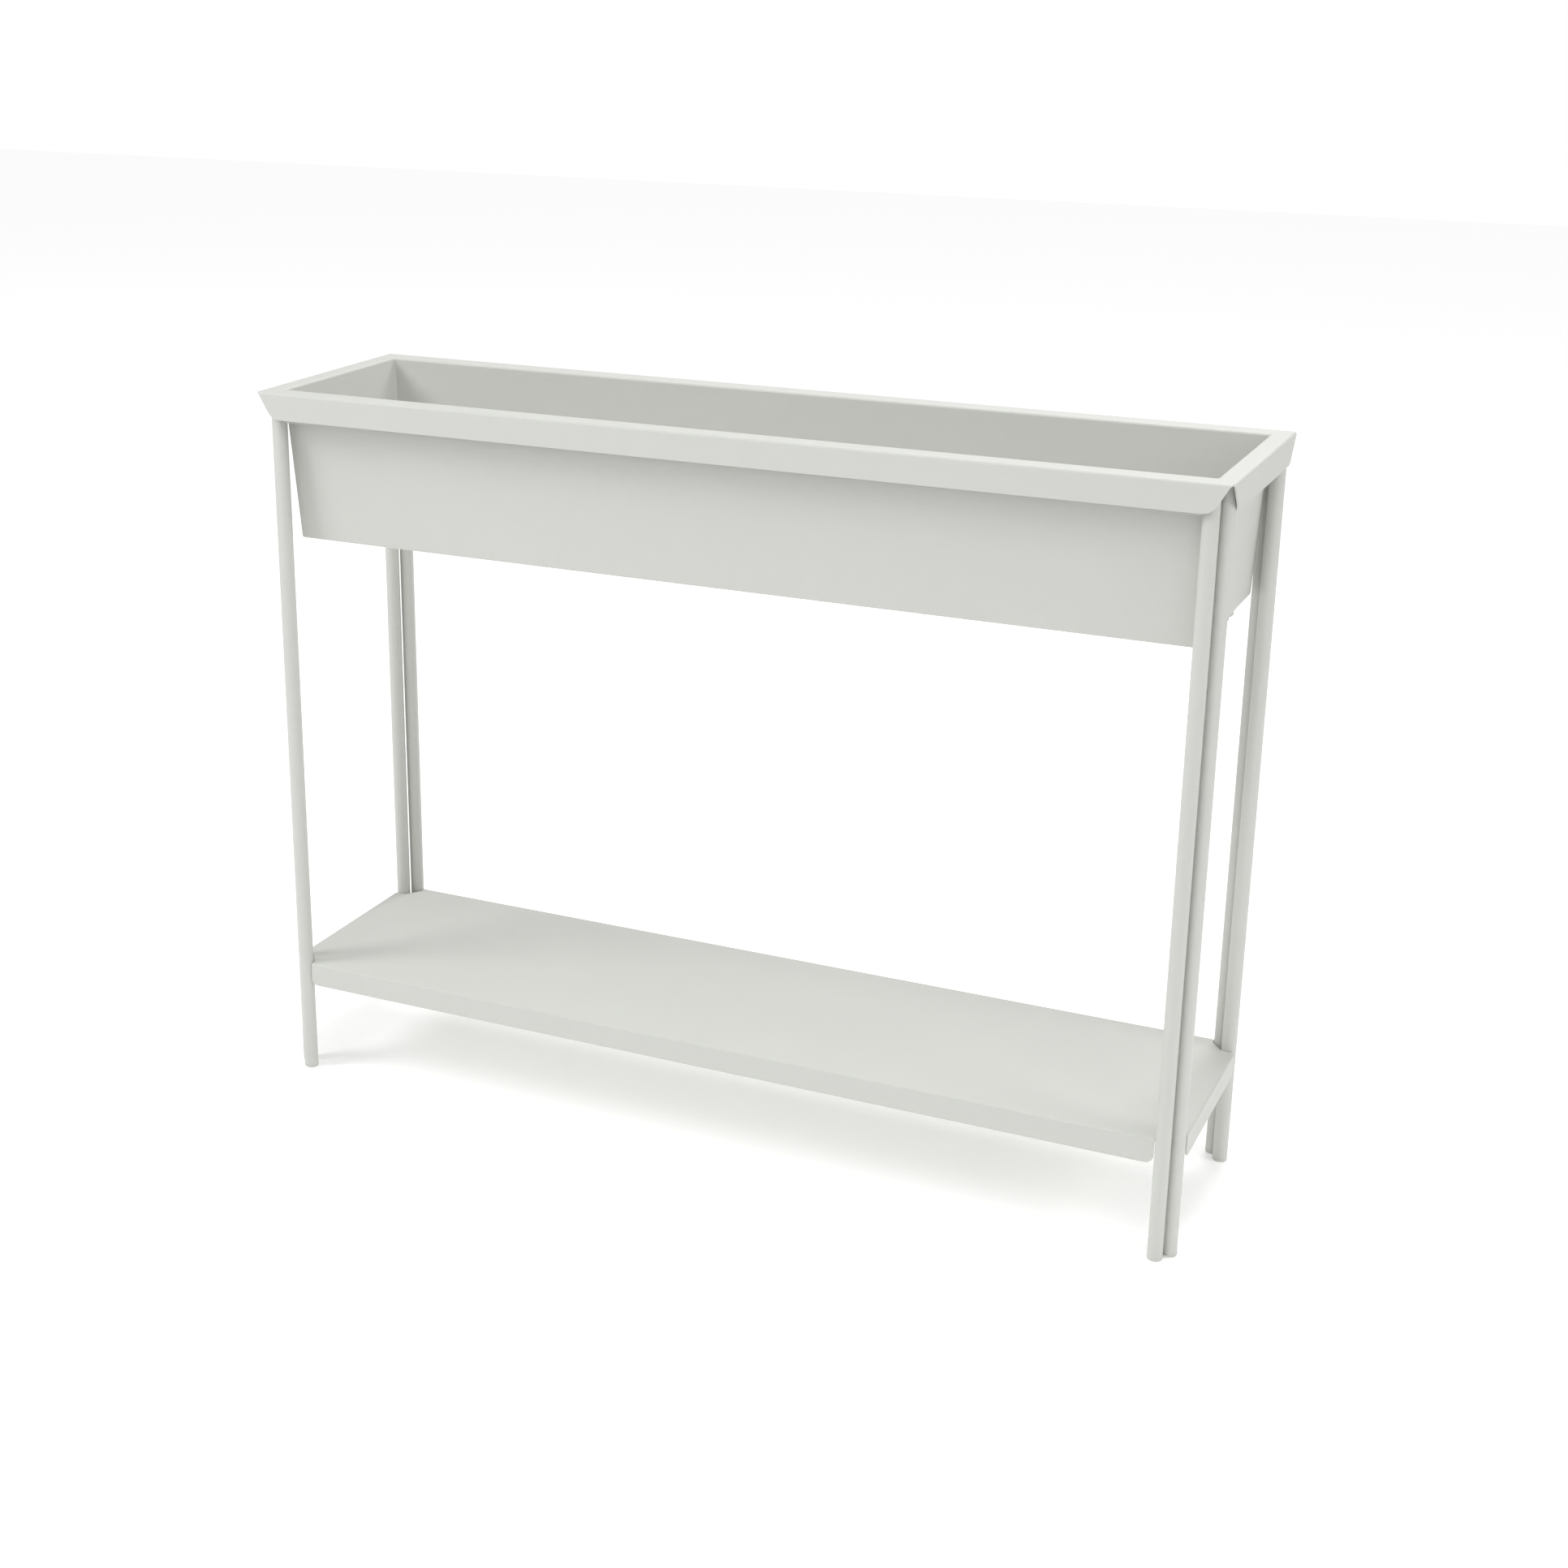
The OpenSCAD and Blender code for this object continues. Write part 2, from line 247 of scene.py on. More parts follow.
class NodeTree:
    """A node tree of a material or of Geometry Nodes."""

    def __init__(self, tree):
        self.tree = tree

    def node(self, kind, settings=None, sockets=None, output=None):
        """Adds a node, its settings first, and returns the output that is asked for."""
        made = self.tree.nodes.new(kind)
        for name, value in (settings or {}).items():
            setattr(made, name, value)
        for name, value in (sockets or {}).items():
            for each in value if isinstance(value, list) else [value]:
                socket = next(s for s in made.inputs if name in (s.identifier, s.name))
                if isinstance(each, Plug):
                    self.tree.links.new(each.socket, socket)
                else:
                    socket.default_value = each
        if not made.outputs:
            return None
        if output is None:
            return Plug(self, next(s for s in made.outputs if s.enabled))
        return Plug(self, next(s for s in made.outputs if output in (s.identifier, s.name)))

    def maths(self, operation, first, second=0.0):
        sockets = {"Value": first, "Value_001": second}
        return self.node("ShaderNodeMath", {"operation": operation}, sockets)

    def shades(self, factor, colour, low, high):
        """A colour that goes from low to high times its brightness with factor."""
        return self.node("ShaderNodeMix", {"data_type": "RGBA"}, {
            "Factor_Float": factor,
            "A_Color": tinted(colour, low),
            "B_Color": tinted(colour, high)})

    def given(self, name):
        """What goes into a Geometry Nodes tree under a name."""
        return self.node("NodeGroupInput", output=name)


def new_finish(name):
    """An empty material and its tree."""
    material = bpy.data.materials.new(name)
    material.use_nodes = True
    material.node_tree.nodes.clear()
    return material, NodeTree(material.node_tree)


COAT_GREY = (0.612, 0.619, 0.586)
COAT_SHADES = (0.96, 1.04)
COAT_ROUGHNESS = 0.52
GRAIN_SIZE = 0.0007
PEEL_SIZE = 0.0016
FILM_SIZE = 0.018
DRIFT_SIZE = 0.11
PEEL_HEIGHT = 0.00006


def powder_coat(name, place):
    """Baked matt powder coat: fine orange peel, pin-head grain and slow drifts in shade.

    place moves the pattern, so that the pieces coated apart don't match at their edges.
    """
    material, tree = new_finish(name)
    where = tree.node("ShaderNodeMapping", {}, {
        "Vector": tree.node("ShaderNodeTexCoord", output="Object"),
        "Location": place})

    def noise(size, detail):
        """Noise whose lumps are about size metres apart."""
        return tree.node("ShaderNodeTexNoise", {}, {
            "Vector": where, "Scale": 1 / size, "Detail": detail})

    peel = noise(PEEL_SIZE, 2)
    grain = noise(GRAIN_SIZE, 1)
    drift = noise(DRIFT_SIZE, 3)
    film = noise(FILM_SIZE, 2)
    shade = (grain - 0.5) * 0.55 + (peel - 0.5) * 0.35 + (film - 0.5) * 0.25 + (drift - 0.5) * 0.35
    colour = tree.shades(shade + 0.5, COAT_GREY, *COAT_SHADES)
    bump = tree.node("ShaderNodeBump", {}, {
        "Strength": 0.35, "Distance": PEEL_HEIGHT, "Height": peel * 0.7 + grain * 0.3})
    surface = tree.node("ShaderNodeBsdfPrincipled", {}, {
        "Base Color": colour,
        "Roughness": COAT_ROUGHNESS + (film - 0.5) * 0.10 + (drift - 0.5) * 0.06,
        "Specular IOR Level": 0.42,
        "Normal": bump})
    tree.node("ShaderNodeOutputMaterial", {}, {"Surface": surface})
    return material


tray_coat = powder_coat("tray_coat", (0.0, 0.0, 0.0))

tray_low, tray_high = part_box("tray")
end_tube_low, end_tube_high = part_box("back_right_end_tube")
side_tube_low, side_tube_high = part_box("back_right_side_tube")
bush_low, bush_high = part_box("drain_bush")
drain = Vector(((bush_low.x + bush_high.x) / 2, (bush_low.y + bush_high.y) / 2, 0))

rim_top = tray_high.z
trough_floor = tray_low.z + SHEET
mouth_x = end_tube_low.x - END_WALL_GAP - SHEET
mouth_y = side_tube_low.y - SIDE_WALL_GAP - SHEET


def wall_profile(mouth, foot, rim):
    """(out, up) of the inner face: the floor's edge, both folds and the rim's flat."""
    floor_edge = Vector((foot, trough_floor))
    mouth_edge = Vector((mouth, rim_top))
    floor_fold = fold_arc((0, trough_floor), mouth_edge, FOLD_INSIDE, floor_edge)
    mouth_fold = fold_arc(floor_edge, (rim, rim_top), FOLD, mouth_edge)
    return floor_fold + mouth_fold


def trough_rings():
    """Rings from the flat of the floor up the walls and out on to the rim."""
    ends = wall_profile(mouth_x, mouth_x - END_LEAN, tray_high.x)
    fronts = wall_profile(mouth_y, mouth_y - FRONT_LEAN, tray_high.y)
    backs = wall_profile(mouth_y, mouth_y - BACK_LEAN, tray_high.y)
    rings = []
    for end, front, back in zip(ends, fronts, backs):
        radius = WALL_CORNER + max(0, end[0] - (mouth_x - FOLD_INSIDE))
        rings.append(rounded_ring(end, front, back, radius))
    return rings


def trough():
    """The inner and upper face of the trough; its wall goes out and down from there."""
    mesh = bmesh.new()
    rings = join_rows(mesh, trough_rings(), round_trip=True)
    hole = []
    for angle in sweep(0, math.tau, HOLE_STEPS)[:-1]:
        edge = Vector((math.cos(angle), math.sin(angle), 0)) * DRAIN_HOLE
        hole.append(mesh.verts.new(drain + edge + Vector((0, 0, trough_floor))))
    fill_flat(mesh, [rings[0], hole])
    rim_edge = []
    for outward in SIDES:
        if outward.x:
            rows = rim_flap_rows(tray_high.y, END_FLAP_SLOPE, END_FLAP_CORNER)
        else:
            rows = rim_flap_rows(tray_high.x, FLAP_SLOPE, FLAP_CORNER)
        reach = abs(outward.dot(tray_high)) - FOLD
        grid = turned_edge(mesh, outward * reach + Vector((0, 0, rim_top)), outward, rows)
        rim_edge.append(mesh.verts.new(grid[0][0].co))
    fill_flat(mesh, [rings[-1], rim_edge])
    return mesh


finished("folded_trough", trough(), tray_coat, "trough", "tray_coat", "tray", thickness=SHEET)


# Legs. Each is a pair of 15 mm round tubes, 2.3 mm apart, closed at the foot and
# at the top by one small plate with two round ends, welded on and ground flush.
# The four pairs are alike and stand turned towards the corners of the rim.
PLATE_NECK = 0.0084
PLATE_ARC_STEPS = 30
NECK_ARC_STEPS = 8
FOOT_ROUND = 0.0016
TUBE_STEPS = 56
TUBE_END_ROUND = 0.0004
TUBE_END_STEPS = 3

stand_coat = powder_coat("stand_coat", (0.31, 0.17, 0.08))

foot_low, foot_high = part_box("back_right_foot")
cap_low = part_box("back_right_cap")[0]
tube_radius = (side_tube_high.x - side_tube_low.x) / 2
end_tube = Vector((end_tube_high.x - tube_radius, end_tube_high.y - tube_radius))
side_tube = Vector((side_tube_high.x - tube_radius, side_tube_high.y - tube_radius))
pair_pitch = (side_tube - end_tube).length
leg_place = (side_tube + end_tube) / 2


def pair_outline(inset, up):
    """Two round ends and the hollow neck between them, drawn in by inset."""
    half = pair_pitch / 2
    neck = PLATE_NECK / 2
    hollow = (half ** 2 + neck ** 2 - tube_radius ** 2) / (2 * (tube_radius - neck))
    rise = neck + hollow
    meet = math.atan2(rise, -half)
    points = []
    for side in (0, math.pi):
        centre = half * math.cos(side)
        radius = tube_radius - inset
        for angle in sweep(side - meet, side + meet, PLATE_ARC_STEPS):
            points.append((centre + radius * math.cos(angle), radius * math.sin(angle), up))
        # The hollow starts and ends on points that the round ends already have.
        centre_up = rise if side == 0 else -rise
        radius = hollow + inset
        for angle in sweep(side + meet + math.pi, side - meet + math.tau, NECK_ARC_STEPS)[1:-1]:
            points.append((radius * math.cos(angle), centre_up + radius * math.sin(angle), up))
    return points


def pair_plate(thickness, lower_round):
    """The plate of a foot or cap, from z = 0 up, with its lower edge rounded."""
    mesh = bmesh.new()
    rows = [pair_outline(lower_round + LEAD, 0)]
    for angle in sweep(0, math.pi / 2, FOLD_STEPS):
        inset = lower_round * (1 - math.sin(angle))
        rows.append(pair_outline(inset, lower_round * (1 - math.cos(angle))))
    top = thickness - TUBE_END_ROUND
    for angle in sweep(0, math.pi / 2, TUBE_END_STEPS):
        inset = TUBE_END_ROUND * (1 - math.cos(angle))
        rows.append(pair_outline(inset, top + TUBE_END_ROUND * math.sin(angle)))
    rows.append(pair_outline(TUBE_END_ROUND + LEAD, thickness))
    grid = join_rows(mesh, rows, round_trip=True)
    mesh.faces.new(grid[0][::-1])
    mesh.faces.new(grid[-1])
    return mesh


def new_tree(name, numbers):
    """A Geometry Nodes tree with one geometry and named numbers going in."""
    group = bpy.data.node_groups.new(name, "GeometryNodeTree")
    group.interface.new_socket("Geometry", in_out="INPUT", socket_type="NodeSocketGeometry")
    for number in numbers:
        group.interface.new_socket(number, in_out="INPUT", socket_type="NodeSocketFloat")
    group.interface.new_socket("Geometry", in_out="OUTPUT", socket_type="NodeSocketGeometry")
    return group, NodeTree(group)


def run_tree(piece, group, numbers):
    """Runs a tree on a piece and leaves its result as the piece's plain mesh."""
    modifier = piece.modifiers.new(group.name, "NODES")
    modifier.node_group = group
    for item in group.interface.items_tree:
        if item.in_out == "INPUT" and item.name in numbers:
            modifier[item.identifier] = numbers[item.name]
    evaluated = piece.evaluated_get(bpy.context.evaluated_depsgraph_get())
    made = bpy.data.meshes.new_from_object(evaluated)
    piece.modifiers.clear()
    piece.data = made


def put_out(tree, instances):
    """Ends a tree: its instances made real, smooth and coated."""
    real = tree.node("GeometryNodeRealizeInstances", {}, {"Geometry": instances})
    smooth = tree.node("GeometryNodeSetShadeSmooth", {}, {"Geometry": real})
    coated = tree.node("GeometryNodeSetMaterial", {}, {
        "Geometry": smooth, "Material": stand_coat})
    tree.node("NodeGroupOutput", {}, {"Geometry": coated})


def leg_tree():
    """Four legs from one plate: two tubes on a foot, a cap on top, turned to each corner."""
    names = ["Tube radius", "Pair pitch", "Pair angle", "Leg X", "Leg Y", "Tube foot",
             "Tube top", "Cap height", "End round"]
    group, tree = new_tree("leg pairs", names)
    given = tree.given

    # One tube: half of its centre line's points round off each end.
    point = tree.node("GeometryNodeInputIndex")
    count = 2 * (TUBE_END_STEPS + 1)
    angle = tree.maths("MINIMUM", point, count - 1 - point) * (math.pi / 2 / TUBE_END_STEPS)
    rise = tree.maths("COSINE", angle)
    swell = tree.maths("SINE", angle)
    radius = given("Tube radius") - given("End round") + given("End round") * swell
    inward = given("End round") - given("End round") * rise
    upper = tree.maths("GREATER_THAN", point, (count - 1) / 2)
    height = (1 - upper) * (given("Tube foot") + inward) + upper * (given("Tube top") - inward)
    line = tree.node("GeometryNodeResampleCurve", {}, {
        "Curve": tree.node("GeometryNodeCurvePrimitiveLine"), "Count": count})
    centre_line = tree.node("GeometryNodeSetPosition", {}, {
        "Geometry": line,
        "Position": tree.node("ShaderNodeCombineXYZ", {}, {"Z": height})})
    tube = tree.node("GeometryNodeCurveToMesh", {}, {
        "Curve": centre_line,
        "Profile Curve": tree.node("GeometryNodeCurvePrimitiveCircle", {}, {
            "Resolution": TUBE_STEPS, "Radius": 1.0}),
        "Scale": radius,
        "Fill Caps": True})

    # The pair of tubes and its two plates.
    half = given("Pair pitch") * 0.5
    pair = tree.node("GeometryNodeMeshLine", {}, {
        "Count": 2,
        "Start Location": tree.node("ShaderNodeCombineXYZ", {}, {"X": 0 - half}),
        "Offset": tree.node("ShaderNodeCombineXYZ", {}, {"X": given("Pair pitch")})})
    tubes = tree.node("GeometryNodeInstanceOnPoints", {}, {"Points": pair, "Instance": tube})
    levels = tree.node("GeometryNodeMeshLine", {}, {
        "Count": 2,
        "Offset": tree.node("ShaderNodeCombineXYZ", {}, {"Z": given("Cap height")})})
    plates = tree.node("GeometryNodeInstanceOnPoints", {}, {
        "Points": levels, "Instance": given("Geometry")})
    leg = tree.node("GeometryNodeJoinGeometry", {}, {"Geometry": [tubes, plates]})

    # The four corners, with each leg turned to lie behind the flaps of its corner.
    corners = tree.node("GeometryNodeMeshGrid", {}, {
        "Size X": given("Leg X") * 2, "Size Y": given("Leg Y") * 2,
        "Vertices X": 2, "Vertices Y": 2})
    place = tree.node("GeometryNodeInputPosition")

    def side(axis):
        """Which side of the middle a corner is on: -1 or 1."""
        along = tree.node("ShaderNodeSeparateXYZ", {}, {"Vector": place}, output=axis)
        return tree.maths("SIGN", along)

    across = tree.maths("SINE", given("Pair angle"))
    back = tree.maths("COSINE", given("Pair angle"))
    turn = tree.maths("ARCTAN2", side("Y") * across, 0 - side("X") * back)
    legs = tree.node("GeometryNodeInstanceOnPoints", {}, {
        "Points": corners, "Instance": leg,
        "Rotation": tree.node("ShaderNodeCombineXYZ", {}, {"Z": turn})})
    put_out(tree, legs)
    return group


def leg_nodes():
    """The CAD nodes that the legs stand for."""
    ends = ("side_tube", "end_tube", "foot", "cap")
    return [f"{y}_{x}_{end}" for y in ("front", "back") for x in ("left", "right") for end in ends]


legs = plain_piece("leg_pairs", pair_plate(foot_high.z - foot_low.z, FOOT_ROUND))
run_tree(legs, leg_tree(), {
    "Tube radius": tube_radius,
    "Pair pitch": pair_pitch,
    "Pair angle": math.atan2(side_tube.y - end_tube.y, end_tube.x - side_tube.x),
    "Leg X": leg_place.x,
    "Leg Y": leg_place.y,
    "Tube foot": foot_high.z,
    "Tube top": cap_low.z,
    "Cap height": cap_low.z,
    "End round": TUBE_END_ROUND})
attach(legs, "stand")
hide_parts(*leg_nodes())


# Top frame. Four lengths of 30 x 4 mm flat bar on edge, coped to the tubes and
# welded between the leg pairs. The rim of the trough rests on their upper edges.
COPE_STEPS = 12
WELD_GAP = 0.00005
BAR_ROUND = 0.0005


def flat_bar(mesh, low, high, along_x):
    """A bar on edge whose two ends are hollowed to fit round tubes."""
    reach = tube_radius + WELD_GAP
    middle = (low + high) / 2
    thick = (high.y - low.y if along_x else high.x - low.x) / 2
    half = side_tube.x if along_x else end_tube.y
    centre = Vector((0, middle.y) if along_x else (middle.x, 0))
    outline = []
    for end in (1, -1):
        for offset in sweep(-thick, thick, COPE_STEPS):
            across = end * offset
            along = end * (half - math.sqrt(reach ** 2 - offset ** 2))
            outline.append((along, across) if along_x else (-across, along))
    rows = [[(centre.x + x, centre.y + y, up) for x, y in outline] for up in (low.z, high.z)]
    grid = join_rows(mesh, rows, round_trip=True)
    mesh.faces.new(grid[0][::-1])
    mesh.faces.new(grid[1])


def top_frame():
    mesh = bmesh.new()
    for name in ("front_bar", "back_bar"):
        flat_bar(mesh, *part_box(name), along_x=True)
    for name in ("left_bar", "right_bar"):
        flat_bar(mesh, *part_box(name), along_x=False)
    return mesh


finished(
    "top_frame_bars", top_frame(), stand_coat, "stand", "stand_coat",
    "front_bar", "back_bar", "left_bar", "right_bar", edge=BAR_ROUND)


# Frame welds. A short bead runs down each side of every bar end, in the corner
# between the bar and the tube, and is coated over with the rest of the stand.
BEAD_RADIUS = 0.0011
BEAD_STEP = 0.0009
BEAD_LEAST = 0.86
BEAD_HEIGHT = 0.55
BEAD_SEED = 11


def bead_tree(seed):
    """Lays overlapping drops of weld along each straight line of a wire mesh."""
    group, tree = new_tree("weld beads", ["Bead radius", "Bead step"])
    given = tree.given
    run = tree.node("GeometryNodeMeshToCurve", {}, {"Mesh": given("Geometry")})
    points = tree.node("GeometryNodeResampleCurve", {"mode": "LENGTH"}, {
        "Curve": run, "Length": given("Bead step")})
    drop = tree.node("GeometryNodeMeshIcoSphere", {}, {
        "Radius": given("Bead radius"), "Subdivisions": 2})
    size = tree.node("FunctionNodeRandomValue", {"data_type": "FLOAT"}, {
        "Min_001": BEAD_LEAST, "Max_001": 1.0, "Seed": seed})
    drops = tree.node("GeometryNodeInstanceOnPoints", {}, {
        "Points": points, "Instance": drop,
        "Scale": tree.node("ShaderNodeCombineXYZ", {}, {"X": size, "Y": size, "Z": BEAD_HEIGHT})})
    put_out(tree, drops)
    return group


def weld_beads(name, lines, seed):
    """Beads along upright lines, given as (x, y, foot, top)."""
    mesh = bmesh.new()
    for x, y, foot, top in lines:
        mesh.edges.new((mesh.verts.new((x, y, foot)), mesh.verts.new((x, y, top))))
    piece = plain_piece(name, mesh)
    run_tree(piece, bead_tree(seed), {"Bead radius": BEAD_RADIUS, "Bead step": BEAD_STEP})
    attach(piece, "stand")


def all_corners(spot):
    """A spot of the back right corner, at each of the four corners."""
    x, y = spot
    return [(x * flip_x, y * flip_y) for flip_x in (1, -1) for flip_y in (1, -1)]


def frame_weld_lines():
    """The corners between the bars' faces and the tubes, short of the bars' edges."""
    bar_low, bar_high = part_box("back_bar")
    half = (bar_high.y - bar_low.y) / 2
    back_off = math.sqrt(tube_radius ** 2 - half ** 2)
    foot, top = bar_low.z + BEAD_RADIUS, bar_high.z - BEAD_RADIUS
    lines = []
    for x, y, along_x in ((side_tube.x, side_tube.y, True), (end_tube.x, end_tube.y, False)):
        for face in (-half, half):
            spot = (x - back_off, y + face) if along_x else (x + face, y - back_off)
            lines += [(*corner, foot, top) for corner in all_corners(spot)]
    return lines


weld_beads("frame_weld_beads", frame_weld_lines(), BEAD_SEED)


# Shelf. A sheet with its four edges turned down and its corners cut back to the
# tube pairs. A short flange goes down along each cut, and is welded to the tubes.
SHELF_GAP = 0.0004
SHELF_CORNER = 0.008
SHELF_CORNER_STEPS = 8
CORNER_FLANGE = 0.014
FLANGE_RELIEF = 0.0015
SHELF_BEAD_OFFSET = 0.0026
SHELF_BEAD_PROUD = 0.3 * BEAD_RADIUS

shelf_low, shelf_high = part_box("shelf")
pair_along = (side_tube - end_tube).normalized()
pair_inward = Vector((-pair_along.y, pair_along.x))


def shelf_flap_rows(half, height):
    """Rows of a shelf edge: straight ends and round lower corners."""
    rows = [(out, down, half) for out, down in fold_rows()]
    for angle in sweep(0, math.pi / 2, SHELF_CORNER_STEPS):
        down = height - SHELF_CORNER * (1 - math.sin(angle))
        rows.append((FOLD, down, half - SHELF_CORNER * (1 - math.cos(angle))))
    return rows


def shelf():
    mesh = bmesh.new()
    top = shelf_high.z
    cut_x = side_tube.x - tube_radius - SHELF_GAP
    cut_y = end_tube.y - tube_radius - SHELF_GAP
    edge_x = shelf_high.x - FOLD - LEAD
    edge_y = shelf_high.y - FOLD - LEAD
    # The cut runs along the inner sides of both tubes.
    touch = side_tube + pair_inward * (tube_radius + WELD_GAP)
    cut_top = Vector((cut_x, touch.y + (cut_x - touch.x) * pair_along.y / pair_along.x))
    cut_side = Vector((touch.x + (cut_y - touch.y) * pair_along.x / pair_along.y, cut_y))
    slope = (cut_side - cut_top).normalized()
    # A flange hangs from an edge that is set back from the cut.
    flange_start = cut_top + slope * FLANGE_RELIEF
    flange_end = cut_side - slope * FLANGE_RELIEF
    flange_place = (flange_start + flange_end) / 2 + pair_inward * FOLD
    flange_half = (flange_end - flange_start).length / 2
    flange_rows = [(*fold, flange_half) for fold in fold_rows() + [(FOLD, CORNER_FLANGE)]]
    set_back = pair_inward * (FOLD + LEAD)
    corner = [
        Vector((edge_x, cut_y)), cut_side, flange_end, flange_end + set_back,
        flange_start + set_back, flange_start, cut_top, Vector((cut_x, edge_y))]
    outline = []
    for mirror_x, mirror_y in ((1, 1), (-1, 1), (-1, -1), (1, -1)):
        points = corner if mirror_x * mirror_y > 0 else corner[::-1]
        outline += [(p.x * mirror_x, p.y * mirror_y, top) for p in points]
        middle = Vector((flange_place.x * mirror_x, flange_place.y * mirror_y, top))
        outward = Vector((-pair_inward.x * mirror_x, -pair_inward.y * mirror_y, 0))
        turned_edge(mesh, middle, outward, flange_rows)
    fill_flat(mesh, [[mesh.verts.new(point) for point in outline]])
    for outward in SIDES:
        reach, half = (shelf_high.x, cut_y) if outward.x else (shelf_high.y, cut_x)
        middle = outward * (reach - FOLD) + Vector((0, 0, top))
        turned_edge(mesh, middle, outward, shelf_flap_rows(half, top - shelf_low.z))
    return mesh


finished("folded_shelf", shelf(), stand_coat, "stand", "stand_coat", "shelf", thickness=SHEET)


def shelf_weld_lines():
    """Upright beads where each corner flange lies against its two tubes."""
    foot = shelf_high.z - CORNER_FLANGE + BEAD_RADIUS
    top = shelf_high.z - SHEET - BEAD_RADIUS
    lines = []
    for tube, away in ((side_tube, -pair_along), (end_tube, pair_along)):
        spot = tube + pair_inward * (tube_radius + SHELF_BEAD_PROUD) + away * SHELF_BEAD_OFFSET
        lines += [(*corner, foot, top) for corner in all_corners(spot)]
    return lines


weld_beads("shelf_weld_beads", shelf_weld_lines(), BEAD_SEED + 1)


# Drain. A flanged plastic bush through the floor of the trough, with a rubber
# washer under its flange, a ring nut under the floor and a push-in stopper.
BORE = 0.006
BUSH_WALL = 0.003
BUSH_FLANGE = 0.002
NUT_ROOM = 0.0002
RING_BORE = BORE + BUSH_WALL + NUT_ROOM
NUT_LOBES = 10
NUT_SCALLOP = 0.0012
STOPPER_ROOM = 0.00025
STEM_TAPER = 0.0008
GRIP_RIBS = 24
GRIP_DEPTH = 0.0004
FINGER_HOLD = 0.0045
FINGER_HOLD_DEPTH = 0.0016
AXIS_ROOM = 0.0002
DRAIN_ROUND = 0.0005
GRIP_ROUND = 0.0008
BORE_ROUND = 0.001
FLANGE_ROUND = 0.0012
DRAIN_ROUND_STEPS = 4
LATHE_STEPS = 64
PLASTIC_GREY = (0.50, 0.505, 0.485)
PLASTIC_SHADES = (0.94, 1.05)
PLASTIC_ROUGHNESS = 0.46
PLASTIC_BUMPS = 0.00003
RUBBER_BLACK = (0.028, 0.028, 0.030)
RUBBER_SHADES = (1, 2.2)
RUBBER_ROUGHNESS = 0.62
RUBBER_BUMPS = 0.00005

washer_low, washer_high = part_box("drain_washer")
nut_low, nut_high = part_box("drain_nut")
stopper_low, stopper_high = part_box("drain_stopper")


def rounded_section(corners, rounds):
    """Turns a closed outline of (out, up) corners into one with rounded corners."""
    points = []
    for i, (corner, radius) in enumerate(zip(corners, rounds)):
        here = Vector(corner)
        if radius == 0:
            points.append(here)
            continue
        before = (here - Vector(corners[i - 1])).normalized() * radius
        after = (Vector(corners[(i + 1) % len(corners)]) - here).normalized() * radius
        for angle in sweep(0, math.pi / 2, DRAIN_ROUND_STEPS):
            points.append(here - before + before * math.sin(angle) + after * (1 - math.cos(angle)))
    return points


def turned_ring(corners, rounds, ripple=None):
    """A section turned round the drain's axis; ripple gives the drop in radius by angle."""
    section = rounded_section(corners, rounds)
    rows = []
    for out, up in section + section[:1]:
        row = []
        for angle in sweep(0, math.tau, LATHE_STEPS)[:-1]:
            radius = out - (ripple(angle, out, up) if ripple else 0)
            row.append(drain + Vector((radius * math.cos(angle), radius * math.sin(angle), up)))
        rows.append(row)
    mesh = bmesh.new()
    join_rows(mesh, rows, round_trip=True)
    return mesh


def plastic(name):
    """Moulded plastic: a faint grain and slow flow marks."""
    material, tree = new_finish(name)
    where = tree.node("ShaderNodeTexCoord", output="Object")
    grain = tree.node("ShaderNodeTexNoise", {}, {"Vector": where, "Scale": 2400.0, "Detail": 2.0})
    flow = tree.node("ShaderNodeTexNoise", {}, {
        "Vector": where, "Scale": 160.0, "Detail": 2.0, "Distortion": 1.2})
    colour = tree.shades((flow - 0.5) * 0.8 + 0.5, PLASTIC_GREY, *PLASTIC_SHADES)
    bump = tree.node("ShaderNodeBump", {}, {
        "Strength": 0.3, "Distance": PLASTIC_BUMPS, "Height": grain})
    surface = tree.node("ShaderNodeBsdfPrincipled", {}, {
        "Base Color": colour,
        "Roughness": PLASTIC_ROUGHNESS + (flow - 0.5) * 0.12,
        "Normal": bump})
    tree.node("ShaderNodeOutputMaterial", {}, {"Surface": surface})
    return material


def rubber(name):
    """Black rubber with a dusty bloom."""
    material, tree = new_finish(name)
    where = tree.node("ShaderNodeTexCoord", output="Object")
    bloom = tree.node("ShaderNodeTexNoise", {}, {"Vector": where, "Scale": 420.0, "Detail": 4.0})
    colour = tree.shades(bloom * bloom, RUBBER_BLACK, *RUBBER_SHADES)
    bump = tree.node("ShaderNodeBump", {}, {
        "Strength": 0.4, "Distance": RUBBER_BUMPS, "Height": bloom})
    surface = tree.node("ShaderNodeBsdfPrincipled", {}, {
        "Base Color": colour,
        "Roughness": RUBBER_ROUGHNESS + (bloom - 0.5) * 0.2,
        "Normal": bump})
    tree.node("ShaderNodeOutputMaterial", {}, {"Surface": surface})
    return material


drain_plastic = plastic("drain_plastic")
drain_rubber = rubber("drain_rubber")


def bush():
    flange = (bush_high.x - bush_low.x) / 2
    outer = BORE + BUSH_WALL
    seat = bush_high.z - BUSH_FLANGE
    corners = [
        (BORE, bush_low.z), (outer, bush_low.z), (outer, seat), (flange, seat),
        (flange, bush_high.z), (BORE, bush_high.z)]
    rounds = [0, DRAIN_ROUND, 0, 0, FLANGE_ROUND, BORE_ROUND]
    return turned_ring(corners, rounds)


